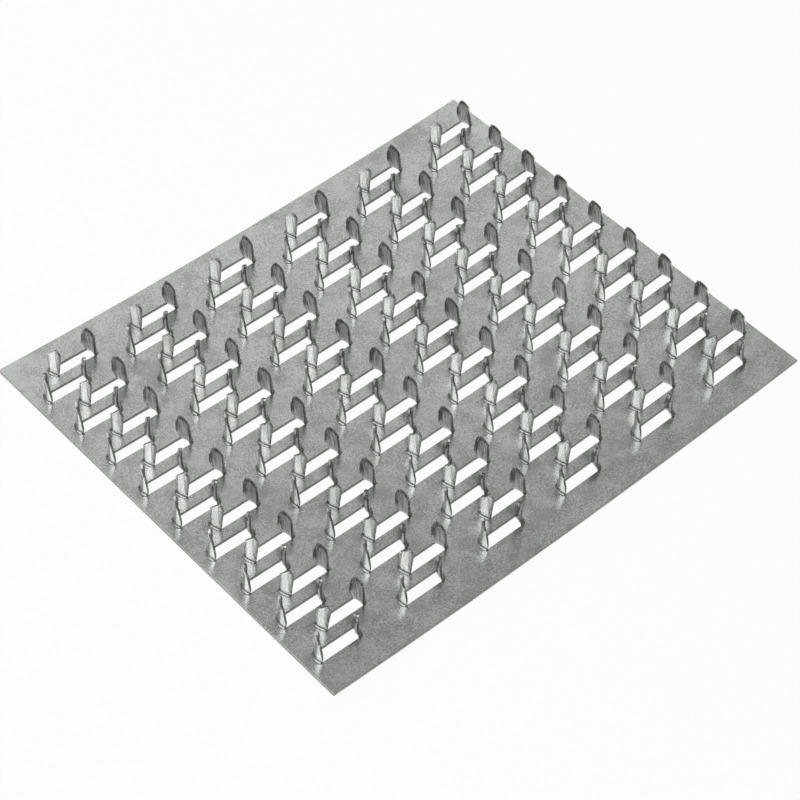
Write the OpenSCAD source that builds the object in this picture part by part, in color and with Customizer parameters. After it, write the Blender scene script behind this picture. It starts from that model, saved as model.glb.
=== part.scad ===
// Truss nail plate: one slightly bowed steel sheet with staggered rows of slots, each slot
// ending in two teeth bent up out of it. Millimetres. Origin under the middle of the sheet,
// X along the slots, Y across the rows, Z up through the teeth.
// The bow is a run of flat panels, one to each column of slots, so every slot and tooth
// stands on flat metal.

/* [Sheet] */
// Thickness of the sheet
sheet_thickness = 0.95; // [0.8:0.05:1.15]
// Height of the two short ends above the middle
bow_rise = 2.2; // [0.8:0.1:3]

/* [Slot pattern] */
// Slots in each row
slot_columns = 6; // [3:1:7]
// Pairs of rows, the second row of each pair stepped along
row_pairs = 9; // [4:1:10]
// Spacing of the slots along a row
column_pitch = 25.4; // [23:0.1:28]
// Spacing of the rows across the sheet
row_pitch = 6.35; // [5.8:0.05:8]
// Step along the sheet between one row and the next
row_step = 6.35; // [4.5:0.05:8]
// Distance of the whole pattern off the middle of the sheet, across the rows
pattern_shift = 0.4; // [-2:0.1:2]
// Clear length of a slot between its two teeth
slot_length = 10.7; // [9:0.1:12]
// Width of a slot
slot_width = 3.2; // [2.8:0.05:3.6]

/* [Teeth] */
// Height of a tooth point above the underside of the sheet
tooth_height = 9.4; // [7.5:0.1:11]
// Width of a tooth round its curve
tooth_width = 3.3; // [2.9:0.05:3.6]
// Radius of the gutter shape of a tooth, at the middle of its thickness
gutter_radius = 2.6; // [2.2:0.1:4]
// Turn of each tooth away from square to its slot
tooth_turn = 28; // [15:1:35]
// Lean of each tooth towards the middle of its slot
tooth_lean = 4; // [0:0.5:8]
// Radius inside the fold at the foot of a tooth
fold_radius = 0.5; // [0.4:0.05:0.65]
// Distance of the point from the middle of the tooth
point_offset = 0.5; // [0:0.05:0.8]
// Drop from the point to the near edge of the tooth
short_bevel = 1.9; // [1:0.1:2.6]
// Drop from the point to the far edge of the tooth
long_bevel = 2.3; // [1.4:0.1:3.2]
// Width of the flat left on the point
point_flat = 0.4; // [0.2:0.05:0.8]

/* [Hidden] */
sheet_length = slot_columns * column_pitch;
sheet_width = (2 * row_pairs + 2) * row_pitch;
bow_radius = sheet_length * sheet_length / (8 * bow_rise) + bow_rise / 2;
panel_angle = 2 * asin(column_pitch / 2 / bow_radius);
panel_depth = bow_radius * cos(panel_angle / 2);

// A tooth is a little thinner than the sheet, so both faces of its foot end inside the sheet
thinning = 0.07;
tooth_thickness = sheet_thickness - 2 * thinning;

// Foot of a tooth, measured out from the axis of its gutter
gutter_inner = gutter_radius - tooth_thickness / 2;
gutter_half_angle = tooth_width / 2 / gutter_radius * 180 / PI;
fold_outside = fold_radius + tooth_thickness;
fold_centre = gutter_inner + fold_outside;
fold_height = fold_outside + thinning;

// Length of each foot that runs on into the sheet
foot_overlap = 0.8 * fold_radius;
slot_end_radius = fold_centre - foot_overlap;

// Middle of a tooth, and the axis its gutter curves round
tooth_centre = slot_length / 2 + tooth_thickness / 2;
gutter_axis = [
    tooth_centre - gutter_radius * cos(tooth_turn),
    -gutter_radius * sin(tooth_turn)
];

// Lengths that only have to be longer than what they cut
past = 1;
cut_height = sheet_thickness + 2 * past;

$fn = 48;

// Tilt of one panel, counted from the left end of the sheet
function panel_tilt(column) = (column - (slot_columns - 1) / 2) * panel_angle;

// Lowest point of the underside before it is set down on the origin plane
lowest = slot_columns % 2 == 0 ? bow_radius : panel_depth;

// Point of the bow profile at one panel joint, at a given distance from the bow's centre
function joint(number, reach) =
    let(tilt = (number - slot_columns / 2) * panel_angle)
    [reach * sin(tilt), lowest - reach * cos(tilt)];

// Places its children on one panel, x measured from the middle of the panel
module on_panel(column, x, y) {
    translate([0, 0, lowest])
        rotate([0, -panel_tilt(column), 0])
            translate([x, y, -panel_depth])
                children();
}

// Repeats its children at every slot, mirrored in the stepped rows
module at_slots() {
    for (column = [0:slot_columns - 1])
        for (row = [0:2 * row_pairs - 1]) {
            side = row % 2 == 0 ? 1 : -1;
            y = pattern_shift + ((2 * row_pairs - 1) / 2 - row) * row_pitch;
            on_panel(column, side * row_step / 2, y)
                if (side > 0)
                    children();
                else
                    mirror([0, 1, 0])
                        children();
        }
}

// Plain bowed sheet
module sheet() {
    thin = sheet_thickness / cos(panel_angle / 2);
    rotate([90, 0, 0])
        linear_extrude(sheet_width, center = true)
            polygon([
                for (number = [0:slot_columns]) joint(number, bow_radius),
                for (number = [slot_columns:-1:0]) joint(number, bow_radius - thin)
            ]);
}

// One end of a slot, round the gutter axis of the tooth that stands there
module slot_end() {
    translate(gutter_axis)
        circle(r = slot_end_radius);
}

// Slot outline
module slot_outline() {
    intersection() {
        square([2 * tooth_centre + 4 * slot_width, slot_width], center = true);
        union() {
            square([2 * gutter_axis[0], slot_width], center = true);
            slot_end();
            rotate([0, 0, 180])
                slot_end();
        }
    }
}

// Wedge of a circle, from one angle to another, for trimming a ring
module wedge(from, to, size) {
    polygon([
        [0, 0],
        size * [cos(from), sin(from)],
        size * [cos((from + to) / 2), sin((from + to) / 2)],
        size * [cos(to), sin(to)]
    ]);
}

// Section through a tooth: a straight blade on a quarter-turn fold
module tooth_section() {
    translate([gutter_inner, fold_height])
        square([tooth_thickness, tooth_height]);
    translate([fold_centre, fold_height])
        intersection() {
            difference() {
                circle(r = fold_outside);
                circle(r = fold_radius);
            }
            wedge(180, 270 + tooth_lean, 4 * fold_outside);
        }
}

// Tip profile, seen square on to the tooth
module tip_profile() {
    half = slot_width;
    short_run = half - point_offset - point_flat / 2;
    short_slope = short_bevel / (tooth_width / 2 - point_offset - point_flat / 2);
    long_run = half + point_offset - point_flat / 2;
    long_slope = long_bevel / (tooth_width / 2 + point_offset - point_flat / 2);
    polygon([
        [-half, -past],
        [half, -past],
        [half, tooth_height - short_run * short_slope],
        [point_offset + point_flat / 2, tooth_height],
        [point_offset - point_flat / 2, tooth_height],
        [-half, tooth_height - long_run * long_slope]
    ]);
}

// One gutter-shaped tooth with its fold, about its own gutter axis
module gutter_tooth() {
    intersection() {
        rotate([0, 0, -gutter_half_angle])
            rotate_extrude(angle = 2 * gutter_half_angle)
                tooth_section();
        rotate([90, 0, 90])
            linear_extrude(2 * fold_centre)
                tip_profile();
    }
}

// Tooth at the +X end of a slot, leaned over and turned
module tooth() {
    translate([tooth_centre, 0, 0])
        rotate([0, 0, tooth_turn])
            translate([fold_centre - gutter_radius, 0, fold_height])
                rotate([0, -tooth_lean, 0])
                    translate([-fold_centre, 0, -fold_height])
                        gutter_tooth();
}

// Both teeth of a slot, the second a half turn from the first
module tooth_pair() {
    tooth();
    rotate([0, 0, 180])
        tooth();
}

// Whole plate
module nail_plate() {
    color("silver")
        union() {
            difference() {
                sheet();
                at_slots()
                    translate([0, 0, -past])
                        linear_extrude(cut_height)
                            slot_outline();
            }
            at_slots()
                tooth_pair();
        }
}

nail_plate();
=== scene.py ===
"""Looks of the truss nail plate: a bowed zinc-coated sheet with rows of punched teeth.

The plate is one mesh that replaces the CAD node. Lengths in the classes of the plate are
millimetres and its angles are degrees, and the mesh is scaled to metres when it is made.
The classes of the studio hold metres.
"""

from __future__ import annotations

import logging
import math
from dataclasses import dataclass, field, replace
from enum import Enum
from typing import Any, Sequence

import bpy
import numpy as np
from mathutils import Matrix, Vector
from mathutils.geometry import delaunay_2d_cdt


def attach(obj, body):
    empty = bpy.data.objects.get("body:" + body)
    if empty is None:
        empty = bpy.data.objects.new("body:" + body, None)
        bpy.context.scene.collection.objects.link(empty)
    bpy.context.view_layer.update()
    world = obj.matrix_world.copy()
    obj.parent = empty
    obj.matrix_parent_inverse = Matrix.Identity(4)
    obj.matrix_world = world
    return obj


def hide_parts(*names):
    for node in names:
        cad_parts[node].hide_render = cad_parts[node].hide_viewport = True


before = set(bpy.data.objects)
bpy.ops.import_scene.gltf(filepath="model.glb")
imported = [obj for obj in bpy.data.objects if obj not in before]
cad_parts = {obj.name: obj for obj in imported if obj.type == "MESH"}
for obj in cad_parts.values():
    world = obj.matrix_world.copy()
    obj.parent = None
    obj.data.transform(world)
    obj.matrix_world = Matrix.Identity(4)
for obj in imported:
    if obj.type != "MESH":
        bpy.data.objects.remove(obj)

LOG = logging.getLogger("nail_plate")
MM = 0.001
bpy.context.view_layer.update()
Colour = tuple[float, float, float, float]
Band = tuple[float, float]
Place = tuple[float, float, float]


class End(Enum):
    """The two ends of a slot, with the sign of their X."""

    RIGHT = 1
    LEFT = -1


@dataclass(frozen=True)
class Sheet:
    """Sizes of the bowed sheet and of the pattern of slots in it.

    The steps say how finely the mesh is cut along an edge. The clear sizes are kept free of
    loose points round a slot.
    """

    thickness: float = 0.95
    bow_rise: float = 2.2
    columns: int = 6
    rows: int = 18
    column_pitch: float = 25.4
    row_pitch: float = 6.35
    row_step: float = 6.35
    pattern_shift: float = 0.4
    slot_length: float = 10.7
    slot_width: float = 3.2
    top_chamfer: float = 0.07
    under_chamfer: float = 0.18
    length_steps: int = 48
    width_steps: int = 40
    wall_steps: int = 7
    clear_along: float = 1.0
    clear_across: float = 0.5

    @property
    def length(self) -> float:
        """Length of the sheet along the slots."""
        return self.columns * self.column_pitch

    @property
    def width(self) -> float:
        """Width of the sheet across the rows."""
        return (self.rows + 2) * self.row_pitch

    @property
    def radius(self) -> float:
        """Radius of the bow, at the underside."""
        return self.length**2 / (8 * self.bow_rise) + self.bow_rise / 2

    @property
    def tooth_centre(self) -> float:
        """Distance of the middle of a tooth from the middle of its slot."""
        return (self.slot_length + self.thickness) / 2

    def bow(self, flat: np.ndarray) -> np.ndarray:
        """Bends points of the flat plate onto the bow.

        Args:
            flat: Rows of x, y and height above the underside.

        Returns:
            The same points on the bowed plate.
        """
        angle = flat[:, 0] / self.radius
        reach = self.radius - flat[:, 2]
        return np.stack(
            [reach * np.sin(angle), flat[:, 1], self.radius - reach * np.cos(angle)], 1
        )

    def slots(self) -> list[tuple[float, float, bool]]:
        """Places of all the slots, column by column.

        Returns:
            X and y of the middle of each slot, and True in the stepped rows.
        """
        found = []
        for column in range(self.columns):
            for row in range(self.rows):
                stepped = row % 2 == 1
                x = (column - (self.columns - 1) / 2) * self.column_pitch
                x += (-1 if stepped else 1) * self.row_step / 2
                y = self.pattern_shift + ((self.rows - 1) / 2 - row) * self.row_pitch
                found.append((x, y, stepped))
        return found


@dataclass(frozen=True)
class Tooth:
    """Sizes of one tooth.

    A share runs from 0 at the start of the blade, which is the top of the fold, to 1 at the
    point. The near side of a tooth is the one that its turn brings over the slot. Towards the
    point the gutter's radius grows by opening and the blade sways to its side. Low on the
    near side the blade flares out, and a little higher it spreads along the gutter, each
    strongest at its own share and fading within its reach. From drift_start above the sheet
    on, the blade also drifts along X and Y.
    """

    height: float = 9.15
    width: float = 3.3
    gutter_radius: float = 2.6
    opening: float = 0.5
    foot_turn: float = 14.0
    point_turn: float = 42.0
    lean: float = 3.5
    sway: float = 0.85
    sway_power: float = 1.5
    drift: tuple[float, float] = (-0.35, 0.1)
    drift_start: float = 1.0
    fold_radius: float = 0.7
    point_offset: float = 0.45
    short_slope: float = 2.0
    long_slope: float = 1.15
    point_round: float = 0.35
    point_thinning: float = 0.15
    edge_thinning: float = 0.25
    edge_power: float = 2.5
    edge_bulge: float = 1.035
    flare: float = 0.5
    flare_share: float = 0.04
    flare_reach: float = 0.1
    spread: float = 0.0
    spread_share: float = 0.32
    spread_reach: float = 0.3
    last_row: float = 0.97
    cap_width: float = 0.97
    cap_thickness: float = 0.66
    across: int = 10
    fold_steps: int = 5
    blade_steps: int = 9
    step_power: float = 0.9

    def tip_height(self, across: np.ndarray, start: float) -> np.ndarray:
        """Height of the point profile above the start of the blade.

        Args:
            across: Place over the width of each point, from -1 to 1.
            start: Height of the start of the blade above the underside.

        Returns:
            One height for each place.
        """
        away = across * self.width / 2 - self.point_offset
        slope = np.where(away > 0, self.short_slope, self.long_slope)
        drop = slope * (np.sqrt(away**2 + self.point_round**2) - self.point_round)
        return self.height - start - drop


@dataclass(frozen=True)
class Differences:
    """How much the teeth differ, as standard deviations of their sizes."""

    seed: int = 11
    turn: float = 1.2
    height: float = 0.08
    lean: float = 0.7
    sway: float = 0.12
    point_offset: float = 0.08
    long_slope: float = 0.05


@dataclass(frozen=True)
class Ends:
    """What differs between the teeth at the two ends of a slot."""

    right_spread: float = 0.55
    left_spread: float = 0.05
    right_rounding: float = 0.7
    left_rounding: float = 0.0

    def spread(self, end: End) -> float:
        """How far the near side of a blade is spread."""
        return self.right_spread if end is End.RIGHT else self.left_spread

    def rounding(self, end: End) -> float:
        """How far the fold bulges out at its middle."""
        return self.right_rounding if end is End.RIGHT else self.left_rounding


@dataclass(frozen=True)
class CutAndShadeMarks:
    """Strength of the dull sheared metal and of painted shade, from 0 on plain coating."""

    plain: float = 0.0
    # The slot walls take sheared metal and painted shade inside the slot.
    slot_wall: float = 1.35
    sheet_edge: float = 1.0
    near_edge: float = 0.6
    far_edge: float = 0.3
    point: float = 0.2
    # band and its slope, start and growth set the painted shade down the near side of a
    # tooth's outer face.
    band: float = 1.3
    band_slope: float = 3.0
    band_start: float = 2.4
    band_growth: float = 1.5

    def painted_side_shade(self, across: np.ndarray, up: float) -> np.ndarray:
        """Painted shade on a tooth's outer face: a dark band down its near side, wider
        towards the point.

        Args:
            across: Place over the width of each point, from -1 to 1.
            up: Place up the tooth, from 0 to 1.

        Returns:
            One mark for each place.
        """
        return self.band * np.clip(
            self.band_slope * across - self.band_start + self.band_growth * up, 0, 1)


@dataclass(frozen=True)
class ToothMarks:
    """Surface marks that the coating reads on a tooth.

    The place up the tooth grows by fold_step at each step of the fold, then from blade_start
    by blade_rise over the blade, and is top at the point. Half the width of a tooth counts
    as width, and each tooth has its own lines up to apart from those of the next.
    """

    fold_step: float = 0.02
    blade_start: float = 0.1
    blade_rise: float = 0.88
    top: float = 1.0
    width: float = 0.5
    apart: float = 7.0


class MeshParts:
    """Vertices and faces of the mesh while it is being built."""

    def __init__(self) -> None:
        """Starts with an empty mesh."""
        self.points: list[np.ndarray] = []
        self.marks: list[np.ndarray] = []
        self.faces: list[tuple[int, ...]] = []
        self.count = 0

    def add(self, points: np.ndarray, marks: np.ndarray) -> np.ndarray:
        """Adds vertices.

        Args:
            points: Rows of x, y and height in the flat plate.
            marks: One row for each vertex: the place over the width of a tooth, the place up
            it, 1 on its inner face, and the strength of the sheared metal and painted shade.

        Returns:
            The index of each new vertex.
        """
        self.points.append(points)
        self.marks.append(marks)
        self.count += len(points)
        return np.arange(self.count - len(points), self.count)

    def face(self, corners: Sequence[int], flip: bool = False) -> None:
        """Adds one face, wound the other way when flip is set."""
        ring = tuple(int(i) for i in corners)
        self.faces.append(ring[::-1] if flip else ring)

    def strip(self, low: Sequence[int], high: Sequence[int], flip: bool = False) -> None:
        """Adds the quads between two rows of vertices of the same length."""
        for i in range(len(low) - 1):
            self.face((low[i], low[i + 1], high[i + 1], high[i]), flip)

    def sleeve(self, low: np.ndarray, high: np.ndarray, flip: bool = False) -> None:
        """Adds the quads between two closed rings of vertices of the same length."""
        self.strip([*low, low[0]], [*high, high[0]], flip)


def at_height(plan: np.ndarray, height: float) -> np.ndarray:
    """Lifts plan points to one height."""
    return np.column_stack([plan, np.full(len(plan), height)])


def cut_and_shade_marks(count: int, cut: float) -> np.ndarray:
    """Marks of vertices that aren't on a tooth, with the strength of their sheared metal and
    painted shade.
    """
    return np.tile((0.0, 0.0, 0.0, cut), (count, 1))


def inside(loop: np.ndarray, point: np.ndarray) -> bool:
    """Tells whether a plan point lies inside a closed loop.

    Args:
        loop: Rows of x and y round the loop.
        point: X and y of the point.

    Returns:
        True when it lies inside.
    """
    a, b = loop, np.roll(loop, -1, 0)
    crosses = (a[:, 1] > point[1]) != (b[:, 1] > point[1])
    rise = np.where(crosses, b[:, 1] - a[:, 1], 1.0)
    at = a[:, 0] + (point[1] - a[:, 1]) * (b[:, 0] - a[:, 0]) / rise
    return bool(np.count_nonzero(crosses & (at > point[0])) % 2)


@dataclass
class SlotPlace:
    """One slot's place on the sheet. It takes what is built round the slot's own middle.

    Points drift aside from drift_start above the underside on, over the next drift_over.
    """

    parts: MeshParts
    middle: tuple[float, float]
    mirrored: bool
    drift: tuple[float, float]
    drift_start: float
    drift_over: float

    def put(self, points: np.ndarray, marks: np.ndarray) -> np.ndarray:
        """Adds vertices.

        Args:
            points: Rows of x, y and height about the middle of the slot.
            marks: Surface marks, one row for each vertex.

        Returns:
            The index of each new vertex.
        """
        placed = points * np.array([1.0, -1.0 if self.mirrored else 1.0, 1.0])
        placed += np.array([*self.middle, 0.0])
        rise = np.clip((points[:, 2] - self.drift_start) / self.drift_over, 0, 1)
        placed[:, :2] += rise[:, None] * np.array(self.drift)
        return self.parts.add(placed, marks)

    def face(self, corners: Sequence[int], flip: bool = False) -> None:
        """Adds one face, wound as it is seen in the unmirrored slot."""
        self.parts.face(corners, self.mirrored != flip)

    def strip(self, low: Sequence[int], high: Sequence[int]) -> None:
        """Adds the quads between two rows of vertices."""
        self.parts.strip(low, high, self.mirrored)

    def sleeve(self, low: np.ndarray, high: np.ndarray) -> None:
        """Adds the quads between two closed rings of vertices."""
        self.parts.sleeve(low, high, self.mirrored)


@dataclass
class Foot:
    """Where one tooth leaves the sheet.

    It holds the plan points, and the vertices on the top of the sheet, on its underside and
    half way down the two sides.
    """

    plan: np.ndarray
    top: np.ndarray
    under: np.ndarray
    mids: np.ndarray

    def ring(self) -> np.ndarray:
        """The foot's vertices as one closed ring."""
        return np.concatenate([self.top, [self.mids[1]], self.under[::-1], [self.mids[0]]])


@dataclass
class BentTooth:
    """Mesh of one tooth, from the fold at the sheet to its point.

    The number own, from 0 to 1, gives the tooth its own pattern of lines.
    """

    sheet: Sheet
    tooth: Tooth
    end: End
    place: SlotPlace
    own: float
    cut: CutAndShadeMarks = CutAndShadeMarks()
    marks: ToothMarks = ToothMarks()

    def __post_init__(self) -> None:
        """Works out what every row of the tooth needs."""
        self.start = self.sheet.thickness + self.tooth.fold_radius
        self.across = np.linspace(-1, 1, self.tooth.across + 1)
        self.rims = np.array([-self.tooth.edge_bulge, self.tooth.edge_bulge])
        self.turn = np.array([self.end.value, self.end.value, 1.0])

    def blade(self, across: np.ndarray, height: np.ndarray, side: float,
              thin: float) -> np.ndarray:
        """Points of one row of the blade.

        Args:
            across: Place over the width of each point, from -1 to 1.
            height: Height of each point above the start of the blade.
            side: 1 on the outer face, -1 on the inner face and 0 between them.
            thin: Share of the thickness left at this row.

        Returns:
            Rows of x, y and height above the underside.
        """
        tooth, start = self.tooth, self.start
        share = np.clip(height / (tooth.height - start), 0, 1)
        turn = np.radians(tooth.foot_turn + (tooth.point_turn - tooth.foot_turn) * share)
        half = 0.5 * self.sheet.thickness * thin * (
            1 - tooth.edge_thinning * np.abs(across) ** tooth.edge_power)
        near = np.clip(across, 0, 1) ** 2
        spread = tooth.spread * np.exp(
            -((share - tooth.spread_share) / tooth.spread_reach) ** 2)
        flare = tooth.flare * np.exp(-((share - tooth.flare_share) / tooth.flare_reach) ** 2)
        radius = tooth.gutter_radius + tooth.opening * share
        angle = (across * tooth.width / 2 + near * spread) / radius
        reach = radius + near * flare + side * half
        local_x = reach * np.cos(angle) - radius
        local_y = reach * np.sin(angle)
        x = self.sheet.tooth_centre + local_x * np.cos(turn) - local_y * np.sin(turn)
        y = local_x * np.sin(turn) + local_y * np.cos(turn)
        x = x - height * math.tan(math.radians(tooth.lean))
        y = y + tooth.sway * share**tooth.sway_power
        return np.stack([x, y, start + height], 1)

    def ring(self, outer: np.ndarray, inner: np.ndarray, rims: np.ndarray, up: float,
             least: float = 0.0) -> np.ndarray:
        """Adds one ring of vertices round the tooth.

        Args:
            outer: Points on the outer face.
            inner: Points on the inner face.
            rims: Point on the far edge and point on the near edge.
            up: Place up the tooth, from 0 to 1.
            least: Least strength of the sheared metal.

        Returns:
            The indices: outer face, near edge, inner face backwards, far edge.
        """
        count = len(self.across)
        points = np.concatenate([outer, rims[1:], inner[::-1], rims[:1]]) * self.turn
        along = np.concatenate([self.across, [1.0], self.across[::-1], [-1.0]])
        within = np.concatenate([np.zeros(count), [0.5], np.ones(count), [0.5]])
        # The outer face takes painted shade down its near side; the two edges take sheared
        # metal.
        cut = np.concatenate([self.cut.painted_side_shade(self.across, up), [self.cut.near_edge],
                              np.zeros(count), [self.cut.far_edge]])
        marks = np.column_stack([
            along * self.marks.width + self.own * self.marks.apart,
            np.full(len(points), up), within, np.maximum(cut, least)])
        return self.place.put(points, marks)

    def fold(self, foot: np.ndarray, ring: np.ndarray) -> np.ndarray:
        """Adds the fold between the sheet and the blade.

        Args:
            foot: Plan points where the fold leaves the sheet.
            ring: Ring of vertices there.

        Returns:
            The ring at the start of the blade.
        """
        tooth, thickness = self.tooth, self.sheet.thickness
        zero = np.zeros_like(self.across)
        outer_end = self.blade(self.across, zero, 1, 1.0)[:, :2]
        inner_end = self.blade(self.across, zero, -1, 1.0)[:, :2]
        rims_end = self.blade(self.rims, np.zeros(2), 0, 1.0)[:, :2]
        sides = foot[[0, -1]]
        for step in range(1, tooth.fold_steps + 1):
            angle = math.radians(90 * step / tooth.fold_steps)
            sweep, lift = math.sin(angle), 1 - math.cos(angle)
            middle = thickness / 2 + (thickness / 2 + tooth.fold_radius) * lift
            new = self.ring(
                at_height(foot + (outer_end - foot) * sweep,
                          thickness + tooth.fold_radius * lift),
                at_height(foot + (inner_end - foot) * sweep, self.start * lift),
                at_height(sides + (rims_end - sides) * sweep, middle),
                self.marks.fold_step * step)
            self.place.sleeve(ring, new)
            ring = new
        return ring

    def rise(self, ring: np.ndarray) -> None:
        """Adds the blade and closes it at the point.

        Args:
            ring: Ring of vertices at the start of the blade.
        """
        tooth, across = self.tooth, self.across
        tip = tooth.tip_height(across, self.start)
        rims_tip = tooth.tip_height(self.rims, self.start)
        for step in range(1, tooth.blade_steps + 1):
            share = (step / tooth.blade_steps) ** tooth.step_power
            thin = 1 - tooth.point_thinning * share
            new = self.ring(
                self.blade(across, tip * share * tooth.last_row, 1, thin),
                self.blade(across, tip * share * tooth.last_row, -1, thin),
                self.blade(self.rims, rims_tip * share * tooth.last_row, 0, thin),
                self.marks.blade_start + self.marks.blade_rise * share)
            self.place.sleeve(ring, new)
            ring = new
        narrow, thin = across * tooth.cap_width, tooth.cap_thickness
        new = self.ring(
            self.blade(narrow, tip, 1, thin),
            self.blade(narrow, tip, -1, thin),
            self.blade(across[[0, -1]], rims_tip, 0, thin),
            self.marks.top, self.cut.point)
        self.place.sleeve(ring, new)
        count = len(across)
        front, back = new[:count], new[count + 1:2 * count + 1][::-1]
        self.place.strip(front, back)
        self.place.face((new[-1], front[0], back[0]))
        self.place.face((front[-1], new[count], back[-1]))


class Value:
    """A shader socket that takes part in arithmetic."""

    def __init__(self, graph: Graph, socket: bpy.types.NodeSocket) -> None:
        """Wraps one output socket of a graph."""
        self.graph = graph
        self.socket = socket

    def _math(self, operation: str, first: Value | float, second: Value | float) -> Value:
        """Adds a Math node over two values."""
        node = self.graph.node(
            "ShaderNodeMath", {"operation": operation}, {0: first, 1: second})
        return Value(self.graph, node.outputs[0])

    def __add__(self, other: Value | float) -> Value:
        """Sum."""
        return self._math("ADD", self, other)

    __radd__ = __add__

    def __sub__(self, other: Value | float) -> Value:
        """Difference."""
        return self._math("SUBTRACT", self, other)

    def __rsub__(self, other: Value | float) -> Value:
        """Reflected difference."""
        return self._math("SUBTRACT", other, self)

    def __mul__(self, other: Value | float) -> Value:
        """Product."""
        return self._math("MULTIPLY", self, other)

    __rmul__ = __mul__

    def band(self, low: float, high: float) -> Value:
        """Smooth step from 0 at low to 1 at high."""
        node = self.graph.node("ShaderNodeMapRange", {"interpolation_type": "SMOOTHSTEP"},
                               {"Value": self, "From Min": low, "From Max": high})
        return Value(self.graph, node.outputs[0])


@dataclass(frozen=True)
class Mottle:
    """One layer of fractal noise: turns per unit, layers of detail and their roughness."""

    scale: float
    detail: float
    roughness: float = 0.5


class Graph:
    """Node tree of one material or world."""

    def __init__(self, tree: bpy.types.NodeTree) -> None:
        """Clears the tree and keeps it."""
        tree.nodes.clear()
        self.tree = tree

    def node(self, kind: str, settings: dict[str, Any],
             inputs: dict[int | str, Any]) -> bpy.types.Node:
        """Adds one node.

        Args:
            kind: Type name of the node.
            settings: Properties, set first.
            inputs: Values or links, by socket name or number.

        Returns:
            The node.
        """
        made = self.tree.nodes.new(kind)
        for name, value in settings.items():
            setattr(made, name, value)
        for name, value in inputs.items():
            socket = made.inputs[name]
            source = value.socket if isinstance(value, Value) else value
            if isinstance(source, bpy.types.NodeSocket):
                self.tree.links.new(source, socket)
            else:
                socket.default_value = source
        return made

    def noise(self, where: Value, layer: Mottle) -> Value:
        """Fractal noise over a place."""
        made = self.node("ShaderNodeTexNoise", {}, {
            "Vector": where, "Scale": layer.scale, "Detail": layer.detail,
            "Roughness": layer.roughness})
        return Value(self, made.outputs[0])

    def place(self, scale: float) -> Value:
        """Place on the object, with so many units to a metre."""
        at = self.node("ShaderNodeTexCoord", {}, {})
        return self.scaled(Value(self, at.outputs["Object"]), scale)

    def attribute(self, name: str, output: str) -> Value:
        """Reads an attribute of the mesh."""
        made = self.node("ShaderNodeAttribute", {"attribute_name": name}, {})
        return Value(self, made.outputs[output])

    def split(self, vector: Value) -> list[Value]:
        """Three parts of a vector."""
        made = self.node("ShaderNodeSeparateXYZ", {}, {0: vector})
        return [Value(self, output) for output in made.outputs]

    def joined(self, first: Value, second: Value) -> Value:
        """Vector of two values."""
        made = self.node("ShaderNodeCombineXYZ", {}, {0: first, 1: second})
        return Value(self, made.outputs[0])

    def mix(self, share: Value, low: Colour, high: Colour) -> Value:
        """Mixes two colours."""
        made = self.node("ShaderNodeMix", {"data_type": "RGBA"}, {0: share, 6: low, 7: high})
        return Value(self, made.outputs[2])

    def scaled(self, vector: Value, share: Value | float) -> Value:
        """Multiplies a vector or a colour by one value."""
        made = self.node("ShaderNodeVectorMath", {"operation": "SCALE"},
                         {0: vector, "Scale": share})
        return Value(self, made.outputs[0])


class CoatingPatterns:
    """Patterns that the coating is made of, and masks of painted shade, each from about 0 to
    1.
    """

    def __init__(self, graph: Graph, finish: ZincFinish) -> None:
        """Adds the nodes of every pattern.

        Args:
            graph: Node tree of the material.
            finish: The coating.
        """
        where = graph.place(1 / MM)
        along, up, self.inner = graph.split(graph.attribute("tooth_marks", "Vector"))
        # This attribute holds the sheared metal and the painted shade of the slot walls and
        # of the teeth's near sides.
        self.cut = graph.attribute("cut_edge_and_shade", "Fac")
        self.large = graph.noise(where, finish.large)
        self.middle = graph.noise(where, finish.middle)
        self.grain = graph.noise(where, finish.grain)
        self.patches = graph.noise(where, finish.patches).band(*finish.patch_band)
        self.smudge = graph.noise(where, finish.smudge).band(*finish.smudge_band)
        stretched = graph.joined(along * finish.lines_across, up * finish.lines_up)
        self.lines = graph.noise(stretched, finish.lines)
        self.on_tooth = up.band(*finish.tooth_band)
        # Masks of the painted shade in the crease and the fold at a tooth's foot.
        self.crease = up.band(*finish.crease_in) * (1 - up.band(*finish.crease_out))
        self.fold = up.band(*finish.fold_in) * (1 - up.band(*finish.fold_out))


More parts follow.
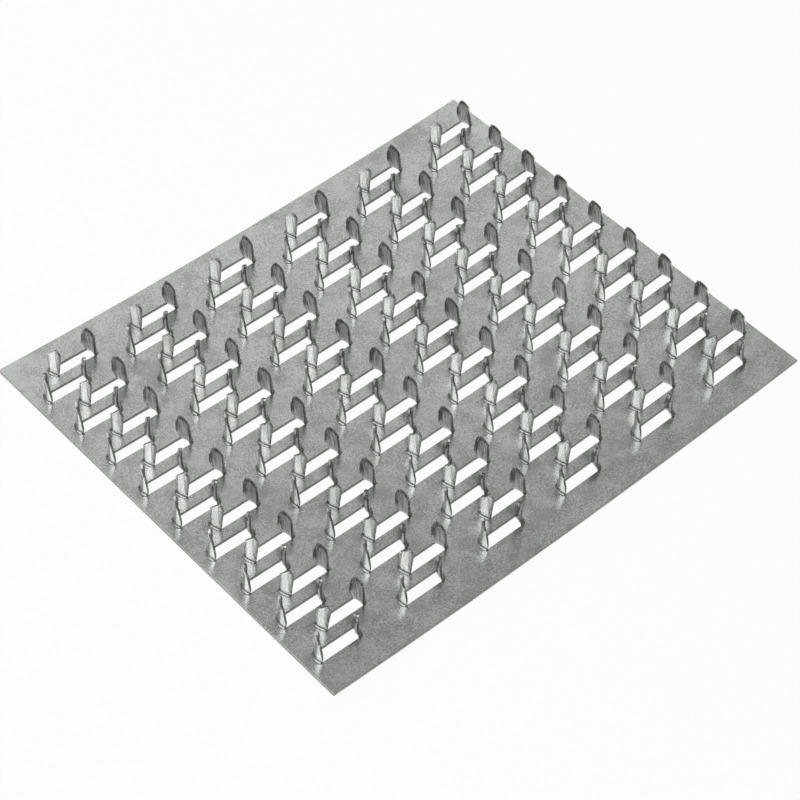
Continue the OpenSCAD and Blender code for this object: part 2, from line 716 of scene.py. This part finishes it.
@dataclass(frozen=True)
class ZincFinish:
    """Galvanised coating: mottled grey, satin, with fine grain and handling marks.

    Fields named after a pattern hold its noise, or how much of it shows. A band is where a
    pattern starts and is complete. The bands of the tooth, crease and fold are places up a
    tooth.
    """

    dark: Colour = (0.50, 0.51, 0.495, 1.0)
    light: Colour = (0.80, 0.815, 0.795, 1.0)
    metallic: float = 0.85
    roughness: float = 0.25

    large: Mottle = Mottle(0.03, 3)
    middle: Mottle = Mottle(0.22, 5, 0.6)
    grain: Mottle = Mottle(2.3, 4, 0.7)
    patches: Mottle = Mottle(0.14, 3, 0.6)
    smudge: Mottle = Mottle(0.09, 6, 0.6)
    lines: Mottle = Mottle(1.0, 4, 0.6)
    lines_across: float = 12.0
    lines_up: float = 1.2
    patch_band: Band = (0.35, 0.65)
    smudge_band: Band = (0.52, 0.72)
    tooth_band: Band = (0.0, 0.2)
    crease_in: Band = (0.03, 0.095)
    crease_out: Band = (0.105, 0.17)
    fold_in: Band = (0.0, 0.03)
    fold_out: Band = (0.07, 0.1)

    tone_large: float = 0.9
    tone_middle: float = 1.9
    tone_grain: float = 2.5
    tone_patch_grain: float = 4.7
    tone_lines: float = 1.2
    tone_smudge: float = 0.4
    tooth_calms_middle: float = 0.8
    tooth_calms_grain: float = 0.75

    # Painted highlight: the teeth are lighter than the sheet.
    tooth_painted_highlight: float = 0.28
    # Painted shade on the inner faces of the teeth.
    inner_painted_shade: float = 0.9
    # Darkening by the sheared metal and by the painted shade of the slot walls and the
    # teeth's near sides.
    cut_and_painted_shade: float = 0.55
    # Painted shade in the crease and the fold at a tooth's foot.
    crease_painted_shade: float = 0.16
    fold_painted_shade: float = 0.36
    outer_lines: float = 0.3
    inner_lines: float = 3.3

    rough_middle: float = 0.12
    rough_grain: float = 0.1
    rough_smudge: float = 0.08
    bump_strength: float = 0.35
    bump_distance: float = 0.00006
    bump_grain: float = 0.25
    bump_middle: float = 0.6
    bump_lines: float = 0.3

    def tone(self, seen: CoatingPatterns) -> Value:
        """Mixes the patterns into the tone of the coating.

        Args:
            seen: Patterns of the coating.

        Returns:
            Share of the light colour.
        """
        calm = 1 - seen.on_tooth * self.tooth_calms_middle
        still = 1 - seen.on_tooth * self.tooth_calms_grain
        speckle = self.tone_grain + seen.patches * self.tone_patch_grain
        tone = 0.5 + (seen.large - 0.5) * self.tone_large
        tone = tone + (seen.middle - 0.5) * calm * self.tone_middle
        tone = tone + (seen.grain - 0.5) * still * speckle
        tone = tone + (seen.lines - 0.5) * seen.on_tooth * self.tone_lines
        return (tone - seen.smudge * self.tone_smudge).band(0.0, 1.0)

    def shade(self, seen: CoatingPatterns) -> Value:
        """Paints light and shade into the colour: a painted highlight on the teeth, painted
        shade on the inner faces, creases, folds, slot walls and near sides of the outer
        faces, dull sheared edges, and the lines.

        Args:
            seen: Patterns of the coating.

        Returns:
            Value that multiplies the colour.
        """
        shade = 1 + seen.on_tooth * (self.tooth_painted_highlight - seen.inner * self.inner_painted_shade)
        shade = shade * (1 - seen.cut * self.cut_and_painted_shade)
        shade = shade * (1 - seen.crease * self.crease_painted_shade - seen.fold * self.fold_painted_shade)
        depth = self.outer_lines + seen.inner * self.inner_lines
        return shade * (1 + (seen.lines - 0.5) * seen.on_tooth * depth)

    def rough(self, seen: CoatingPatterns) -> Value:
        """Varies the roughness with the patterns.

        Args:
            seen: Patterns of the coating.

        Returns:
            Roughness over the surface.
        """
        return (self.roughness + (seen.middle - 0.5) * self.rough_middle
                + (seen.grain - 0.5) * self.rough_grain + seen.smudge * self.rough_smudge)

    def relief(self, seen: CoatingPatterns) -> Value:
        """Mixes the patterns into the fine relief.

        Args:
            seen: Patterns of the coating.

        Returns:
            Height of the relief, before the bump scales it.
        """
        calm = 1 - seen.on_tooth * self.tooth_calms_middle
        return (seen.grain * (1 - seen.on_tooth) * self.bump_grain
                + seen.middle * calm * self.bump_middle
                + seen.lines * seen.on_tooth * self.bump_lines)

    def material(self) -> bpy.types.Material:
        """Builds the material.

        Returns:
            The material of the coating.
        """
        made = bpy.data.materials.new("zinc_coating")
        made.use_nodes = True
        graph = Graph(made.node_tree)
        seen = CoatingPatterns(graph, self)
        colour = graph.scaled(graph.mix(self.tone(seen), self.dark, self.light),
                              self.shade(seen))
        bump = graph.node("ShaderNodeBump", {}, {
            "Strength": self.bump_strength, "Distance": self.bump_distance,
            "Height": self.relief(seen)})
        shader = graph.node("ShaderNodeBsdfPrincipled", {}, {
            "Base Color": colour, "Metallic": self.metallic,
            "Roughness": self.rough(seen), "Normal": bump.outputs[0]})
        graph.node("ShaderNodeOutputMaterial", {}, {0: shader.outputs[0]})
        return made


@dataclass
class NailPlate:
    """The whole plate: sheet, slots and teeth in one mesh, and its coating."""

    sheet: Sheet = Sheet()
    tooth: Tooth = Tooth()
    ends: Ends = Ends()
    differences: Differences = Differences()
    cut: CutAndShadeMarks = CutAndShadeMarks()
    coating: ZincFinish = ZincFinish()
    sharp_angle: float = 38.0
    parts: MeshParts = field(default_factory=MeshParts)
    top_loops: list[np.ndarray] = field(default_factory=list)
    under_loops: list[np.ndarray] = field(default_factory=list)
    rng: np.random.RandomState = field(init=False)

    def __post_init__(self) -> None:
        """Starts the row of random numbers that the teeth draw from."""
        self.rng = np.random.RandomState(self.differences.seed)

    def foot_line(self, across: np.ndarray, end: End) -> np.ndarray:
        """Plan points where a fold leaves the sheet, turned to the right-hand end.

        Args:
            across: Place over the width, from -1 to 1.
            end: End of the slot.

        Returns:
            Rows of x and y from the middle of the slot.
        """
        turn = math.radians(self.tooth.foot_turn)
        radius = self.tooth.gutter_radius
        axis_x = self.sheet.tooth_centre - radius * math.cos(turn)
        axis_y = -radius * math.sin(turn)
        reach = radius + self.sheet.thickness / 2 + self.tooth.fold_radius
        y = across * self.sheet.slot_width / 2
        bulge = self.ends.rounding(end) * (1 - across**2)
        x = axis_x + np.sqrt(reach**2 - (y - axis_y) ** 2) + bulge
        return np.stack([x, y], 1)

    def own_tooth(self, end: End) -> Tooth:
        """Gives one tooth its own small differences.

        Args:
            end: End of the slot that it stands at.

        Returns:
            Its sizes.
        """
        usual, rng, spans = self.tooth, self.rng, self.differences
        turn = rng.normal(0, spans.turn)
        return replace(
            usual,
            height=usual.height + rng.normal(0, spans.height),
            point_turn=usual.point_turn + 2 * turn,
            lean=usual.lean + rng.normal(0, spans.lean),
            sway=usual.sway + rng.normal(0, spans.sway),
            point_offset=usual.point_offset + rng.normal(0, spans.point_offset),
            long_slope=usual.long_slope * (1 + rng.normal(0, spans.long_slope)),
            spread=self.ends.spread(end),
        )

    def add_foot(self, place: SlotPlace, end: End) -> Foot:
        """Adds the vertices where one tooth leaves the sheet.

        Args:
            place: Place of the slot.
            end: End of the slot.

        Returns:
            The foot.
        """
        across = np.linspace(-1, 1, self.tooth.across + 1)
        plan = self.foot_line(across, end) * end.value
        plain = cut_and_shade_marks(len(plan), self.cut.plain)
        return Foot(
            plan,
            place.put(at_height(plan, self.sheet.thickness), plain),
            place.put(at_height(plan, 0.0), plain),
            place.put(at_height(plan[[0, -1]], self.sheet.thickness / 2),
                      cut_and_shade_marks(2, self.cut.slot_wall)),
        )

    def add_slot(self, middle: tuple[float, float], mirrored: bool) -> None:
        """Adds one slot with its two teeth.

        Args:
            middle: Plan position of the middle of the slot.
            mirrored: True in the stepped rows, whose teeth turn the other way.
        """
        place = SlotPlace(self.parts, middle, mirrored, self.tooth.drift,
                          self.sheet.thickness + self.tooth.drift_start, self.tooth.height)
        feet: dict[End, Foot] = {}
        for end in End:
            feet[end] = self.add_foot(place, end)
            tooth = self.own_tooth(end)
            bent = BentTooth(self.sheet, tooth, end, place, self.rng.uniform())
            bent.rise(bent.fold(feet[end].plan * end.value, feet[end].ring()))
        top, under = [], []
        for start, stop in ((End.RIGHT, End.LEFT), (End.LEFT, End.RIGHT)):
            wall = self.add_wall(place, feet[start], feet[stop])
            top += [feet[start].top, wall[0]]
            under += [feet[start].under, wall[-1]]
        self.top_loops.append(np.concatenate(top))
        self.under_loops.append(np.concatenate(under))

    def add_wall(self, place: SlotPlace, start: Foot, stop: Foot) -> list[np.ndarray]:
        """Adds one long side of a slot with its small chamfers.

        Args:
            place: Place of the slot.
            start: Foot at whose last point the side starts.
            stop: Foot at whose first point it stops.

        Returns:
            Four rows of vertices, from the top of the sheet to its underside.
        """
        sheet, cut = self.sheet, self.cut
        share = np.linspace(0, 1, sheet.wall_steps + 1)[1:-1]
        plan = start.plan[-1] + (stop.plan[0] - start.plan[-1]) * share[:, None]
        out = math.copysign(1.0, start.plan[-1][1])
        # The rows of the slot wall take sheared metal and painted shade.
        levels = (
            (sheet.thickness, sheet.top_chamfer, cut.plain),
            (sheet.thickness - sheet.top_chamfer, 0.0, cut.slot_wall),
            (sheet.under_chamfer, 0.0, cut.slot_wall),
            (0.0, sheet.under_chamfer, cut.plain),
        )
        rows = []
        for height, offset, mark in levels:
            line = plan + np.array([0.0, out * offset])
            rows.append(place.put(at_height(line, height), cut_and_shade_marks(len(line), mark)))
        for upper, lower in zip(rows[:-1], rows[1:]):
            place.strip(upper, lower)
        first = (start.top[-1], start.mids[1], start.under[-1])
        last = (stop.top[0], stop.mids[0], stop.under[0])
        for near, corner, flip in ((0, first, False), (-1, last, True)):
            a, b, c, d = (row[near] for row in rows)
            for tri in ((corner[0], a, b), (corner[0], b, corner[1]), (corner[1], b, c),
                        (corner[1], c, corner[2]), (corner[2], c, d)):
                place.face(tri, flip)
        return rows

    def add_border(self, inset: float, height: float, cut: float) -> np.ndarray:
        """Adds one ring of vertices round the edge of the sheet.

        Args:
            inset: Distance in from the sheet's edge.
            height: Height above the underside.
            cut: Strength of the sheared metal.

        Returns:
            The indices, counter-clockwise from the low corner.
        """
        half_x = self.sheet.length / 2 - inset
        half_y = self.sheet.width / 2 - inset
        x = np.linspace(-half_x, half_x, self.sheet.length_steps + 1)
        y = np.linspace(-half_y, half_y, self.sheet.width_steps + 1)
        plan = np.concatenate([
            np.column_stack([x[:-1], np.full(len(x) - 1, -half_y)]),
            np.column_stack([np.full(len(y) - 1, half_x), y[:-1]]),
            np.column_stack([x[:0:-1], np.full(len(x) - 1, half_y)]),
            np.column_stack([np.full(len(y) - 1, -half_x), y[:0:-1]]),
        ])
        return self.parts.add(at_height(plan, height), cut_and_shade_marks(len(plan), cut))

    def free_points(self, loops: list[np.ndarray]) -> np.ndarray:
        """Plan points of an even grid over the sheet, clear of the slots.

        Args:
            loops: Vertices of each slot's edge.

        Returns:
            Rows of x and y.
        """
        sheet = self.sheet
        grid_x = np.linspace(-sheet.length / 2, sheet.length / 2, sheet.length_steps + 1)
        grid_y = np.linspace(-sheet.width / 2, sheet.width / 2, sheet.width_steps + 1)
        all_x, all_y = np.meshgrid(grid_x[1:-1], grid_y[1:-1])
        spots = np.column_stack([all_x.ravel(), all_y.ravel()])
        clear_x = self.foot_line(np.zeros(1), End.RIGHT)[0, 0] + sheet.clear_along
        clear_y = sheet.slot_width / 2 + sheet.clear_across
        known = np.concatenate(self.parts.points)
        keep = np.ones(len(spots), bool)
        for loop in loops:
            away = np.abs(spots - known[loop, :2].mean(0))
            keep &= (away[:, 0] > clear_x) | (away[:, 1] > clear_y)
        return spots[keep]

    def fill_face(self, rim: np.ndarray, loops: list[np.ndarray], height: float,
                  flip: bool) -> None:
        """Fills one face of the sheet between its rim and the slots.

        Args:
            rim: Vertices of the outer edge.
            loops: Vertices of each slot's edge.
            height: Height of this face.
            flip: True for the underside.
        """
        spots = self.free_points(loops)
        free = self.parts.add(at_height(spots, height),
                              cut_and_shade_marks(len(spots), self.cut.plain))
        known = np.concatenate(self.parts.points)
        rings = [rim, *loops]
        edges: list[tuple[int, int]] = []
        owner: dict[int, int] = {}
        for number, ring in enumerate(rings):
            first, size = len(edges), len(ring)
            edges += [(first + i, first + (i + 1) % size) for i in range(size)]
            if number:
                owner.update({first + i: number for i in range(size)})
        order = np.concatenate([*rings, free])
        flat = [Vector((x, y)) for x, y in known[order, :2]]
        out = delaunay_2d_cdt(flat, edges, [], 0, 1e-5, True)
        back = [group[0] if group else -1 for group in out[3]]
        for tri in out[2]:
            corners = [back[i] for i in tri]
            if min(corners) < 0:
                continue
            owners = {owner.get(corner, -1) for corner in corners}
            if len(owners) == 1 and owners != {-1}:
                loop = known[rings[owners.pop()], :2]
                if inside(loop, known[order[corners], :2].mean(0)):
                    continue
            self.parts.face([order[corner] for corner in corners], flip)

    def add_sheet(self) -> None:
        """Adds the sheet's sheared edge and its two faces."""
        sheet, cut = self.sheet, self.cut
        rims = [
            self.add_border(sheet.top_chamfer, sheet.thickness, cut.plain),
            self.add_border(0.0, sheet.thickness - sheet.top_chamfer, cut.sheet_edge),
            self.add_border(0.0, sheet.under_chamfer, cut.sheet_edge),
            self.add_border(sheet.under_chamfer, 0.0, cut.plain),
        ]
        for upper, lower in zip(rims[:-1], rims[1:]):
            self.parts.sleeve(lower, upper)
        self.fill_face(rims[0], self.top_loops, sheet.thickness, False)
        self.fill_face(rims[-1], self.under_loops, 0.0, True)

    def build(self) -> bpy.types.Object:
        """Builds the mesh object in metres.

        Returns:
            The object, not yet dressed.
        """
        for x, y, stepped in self.sheet.slots():
            self.add_slot((x, y), stepped)
        self.add_sheet()
        flat = np.concatenate(self.parts.points)
        marks = np.concatenate(self.parts.marks).astype(np.float32)
        mesh = bpy.data.meshes.new("nail_plate_zinc")
        mesh.from_pydata((self.sheet.bow(flat) * MM).tolist(), [], self.parts.faces)
        mesh.validate()
        values = mesh.attributes.new("tooth_marks", "FLOAT_VECTOR", "POINT")
        values.data.foreach_set("vector", marks[:, :3].ravel())
        # The sheared metal and the painted shade go into this attribute.
        cut = mesh.attributes.new("cut_edge_and_shade", "FLOAT", "POINT")
        cut.data.foreach_set("value", marks[:, 3].copy())
        mesh.shade_smooth()
        mesh.set_sharp_from_angle(angle=math.radians(self.sharp_angle))
        plate = bpy.data.objects.new("nail_plate_zinc", mesh)
        bpy.context.scene.collection.objects.link(plate)
        return plate

    def dress(self, plate: bpy.types.Object) -> None:
        """Coats the plate and gives it its place in the frame.

        Args:
            plate: The built object.
        """
        plate.data.materials.append(self.coating.material())
        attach(plate, "root")
        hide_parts("nail_plate")


@dataclass(frozen=True)
class Lamp:
    """One soft rectangular lamp that faces the middle of the plate."""

    name: str
    place: Place
    size: tuple[float, float]
    watts: float

    def build(self) -> None:
        """Adds the lamp."""
        data = bpy.data.lights.new(self.name, "AREA")
        data.shape = "RECTANGLE"
        data.size, data.size_y = self.size
        data.energy = self.watts
        made = bpy.data.objects.new(self.name, data)
        made.location = self.place
        made.rotation_euler = (-Vector(self.place)).to_track_quat("-Z", "Y").to_euler()
        bpy.context.scene.collection.objects.link(made)


@dataclass(frozen=True)
class Camera:
    """Camera over the near left of the plate."""

    place: Place = (-0.27162, -0.29450, 0.45122)
    aim: Place = (-0.00641, -0.00721, 0.00095)
    roll: float = -1.418
    lens: float = 109.07
    sensor: float = 36.0

    def build(self) -> None:
        """Adds the camera and looks through it."""
        data = bpy.data.cameras.new("camera")
        data.lens = self.lens
        data.sensor_width = self.sensor
        made = bpy.data.objects.new("camera", data)
        roll = math.radians(self.roll)
        forward = (Vector(self.aim) - Vector(self.place)).normalized()
        right = forward.cross(Vector((0, 0, 1))).normalized()
        level = right.cross(forward)
        up = level * math.cos(roll) + right * math.sin(roll)
        turn = Matrix((forward.cross(up), up, -forward)).transposed().to_4x4()
        made.matrix_world = Matrix.Translation(self.place) @ turn
        bpy.context.scene.collection.objects.link(made)
        bpy.context.scene.camera = made


@dataclass(frozen=True)
class Studio:
    """Floor, surroundings, lamps and camera."""

    white: Colour = (1.0, 1.0, 1.0, 1.0)
    floor_colour: Colour = (0.9, 0.9, 0.9, 1.0)
    floor_size: float = 16.0
    floor_drop: float = 0.0001
    floor_glow: float = 0.95
    fill: float = 0.2
    back: Lamp = Lamp("back", (0.68, 0.78, 0.57), (1.6, 1.0), 2.8)
    left: Lamp = Lamp("left", (-0.75, 0.02, 0.80), (1.6, 0.95), 7.3)
    camera: Camera = Camera()

    def seen(self, graph: Graph) -> Value:
        """Finds the rays that see the floor as plain white.

        Args:
            graph: Node tree of the floor's material.

        Returns:
            1 for camera, glossy and transmission rays, and 0 for the others.
        """
        path = graph.node("ShaderNodeLightPath", {}, {})
        rays = [Value(graph, path.outputs[name]) for name in
                ("Is Camera Ray", "Is Glossy Ray", "Is Transmission Ray")]
        either = graph.node("ShaderNodeMath", {"operation": "ADD", "use_clamp": True},
                            {0: rays[0] + rays[1], 1: rays[2]})
        return Value(graph, either.outputs[0])

    def floor_material(self) -> bpy.types.Material:
        """Builds the pale surface that looks white and still takes the shadow.

        Returns:
            The floor's material.
        """
        material = bpy.data.materials.new("pale_floor")
        material.use_nodes = True
        graph = Graph(material.node_tree)
        plain = graph.node("ShaderNodeBsdfDiffuse", {}, {"Color": self.floor_colour})
        glow = graph.node("ShaderNodeEmission", {}, {"Color": self.white, "Strength": 1.0})
        mixed = graph.node("ShaderNodeMixShader", {}, {
            0: self.seen(graph) * self.floor_glow, 1: plain.outputs[0], 2: glow.outputs[0]})
        graph.node("ShaderNodeOutputMaterial", {}, {0: mixed.outputs[0]})
        return material

    def build_floor(self) -> None:
        """Adds the pale floor just under the plate."""
        mesh = bpy.data.meshes.new("floor")
        half = self.floor_size / 2
        corners = [(-half, -half, 0), (half, -half, 0), (half, half, 0), (-half, half, 0)]
        mesh.from_pydata(corners, [], [(0, 1, 2, 3)])
        made = bpy.data.objects.new("floor", mesh)
        made.location.z = -self.floor_drop
        bpy.context.scene.collection.objects.link(made)
        mesh.materials.append(self.floor_material())

    def build_surroundings(self) -> None:
        """Adds the even light from all round."""
        world = bpy.data.worlds.new("surroundings")
        bpy.context.scene.world = world
        world.use_nodes = True
        graph = Graph(world.node_tree)
        back = graph.node("ShaderNodeBackground", {}, {
            "Color": self.white, "Strength": self.fill})
        graph.node("ShaderNodeOutputWorld", {}, {0: back.outputs[0]})

    def build(self) -> None:
        """Builds the whole studio."""
        bpy.context.scene.view_settings.view_transform = "Standard"
        self.build_floor()
        self.build_surroundings()
        self.back.build()
        self.left.build()
        self.camera.build()


def main() -> None:
    logging.basicConfig(level=logging.INFO)
    nail_plate = NailPlate()
    made = nail_plate.build()
    nail_plate.dress(made)
    triangles = sum(len(face.vertices) - 2 for face in made.data.polygons)
    LOG.info("%s: %d triangles", made.name, triangles)
    Studio().build()


if __name__ == "__main__":
    main()
